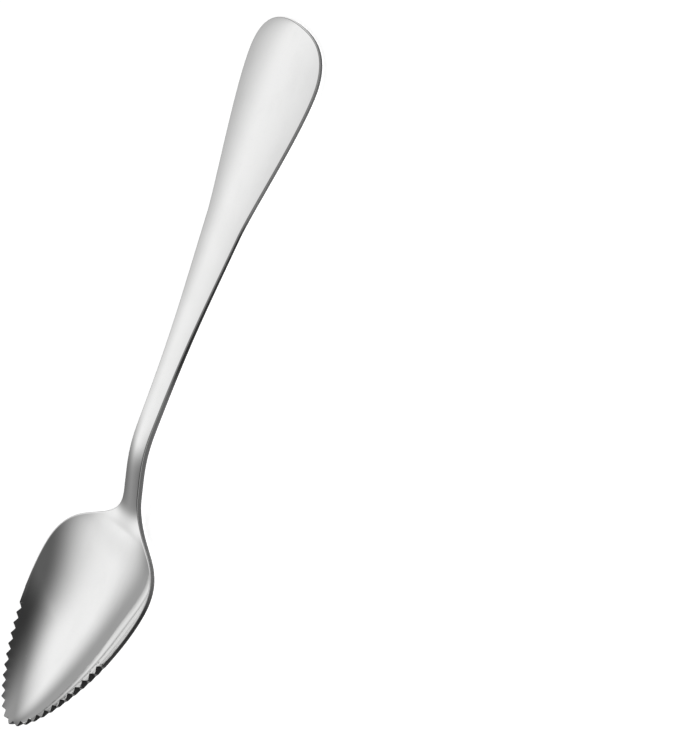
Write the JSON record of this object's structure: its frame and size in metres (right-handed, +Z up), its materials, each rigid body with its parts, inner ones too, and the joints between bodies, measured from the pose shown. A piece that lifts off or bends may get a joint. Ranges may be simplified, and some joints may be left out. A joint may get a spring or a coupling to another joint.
{
  "type": "grapefruit spoon",
  "caption": "One-piece polished steel grapefruit spoon with a pointed, dished bowl, teeth along both edges of the point, a cranked neck and a flared, rounded handle.",
  "frame": {"origin": "centre of the bounding box in plan, on the table that the spoon lies on", "axes": "+X along the spoon from the point of the bowl to the handle's end, +Z up out of the open bowl, Y across the spoon"},
  "size_m": [0.1602, 0.0306, 0.0153],
  "materials": {
    "polished_steel": "mirror-polished stainless steel with fine polishing lines"
  },
  "bodies": {
    "root": {"spoon": "polished_steel"}
  },
  "joints": []
}
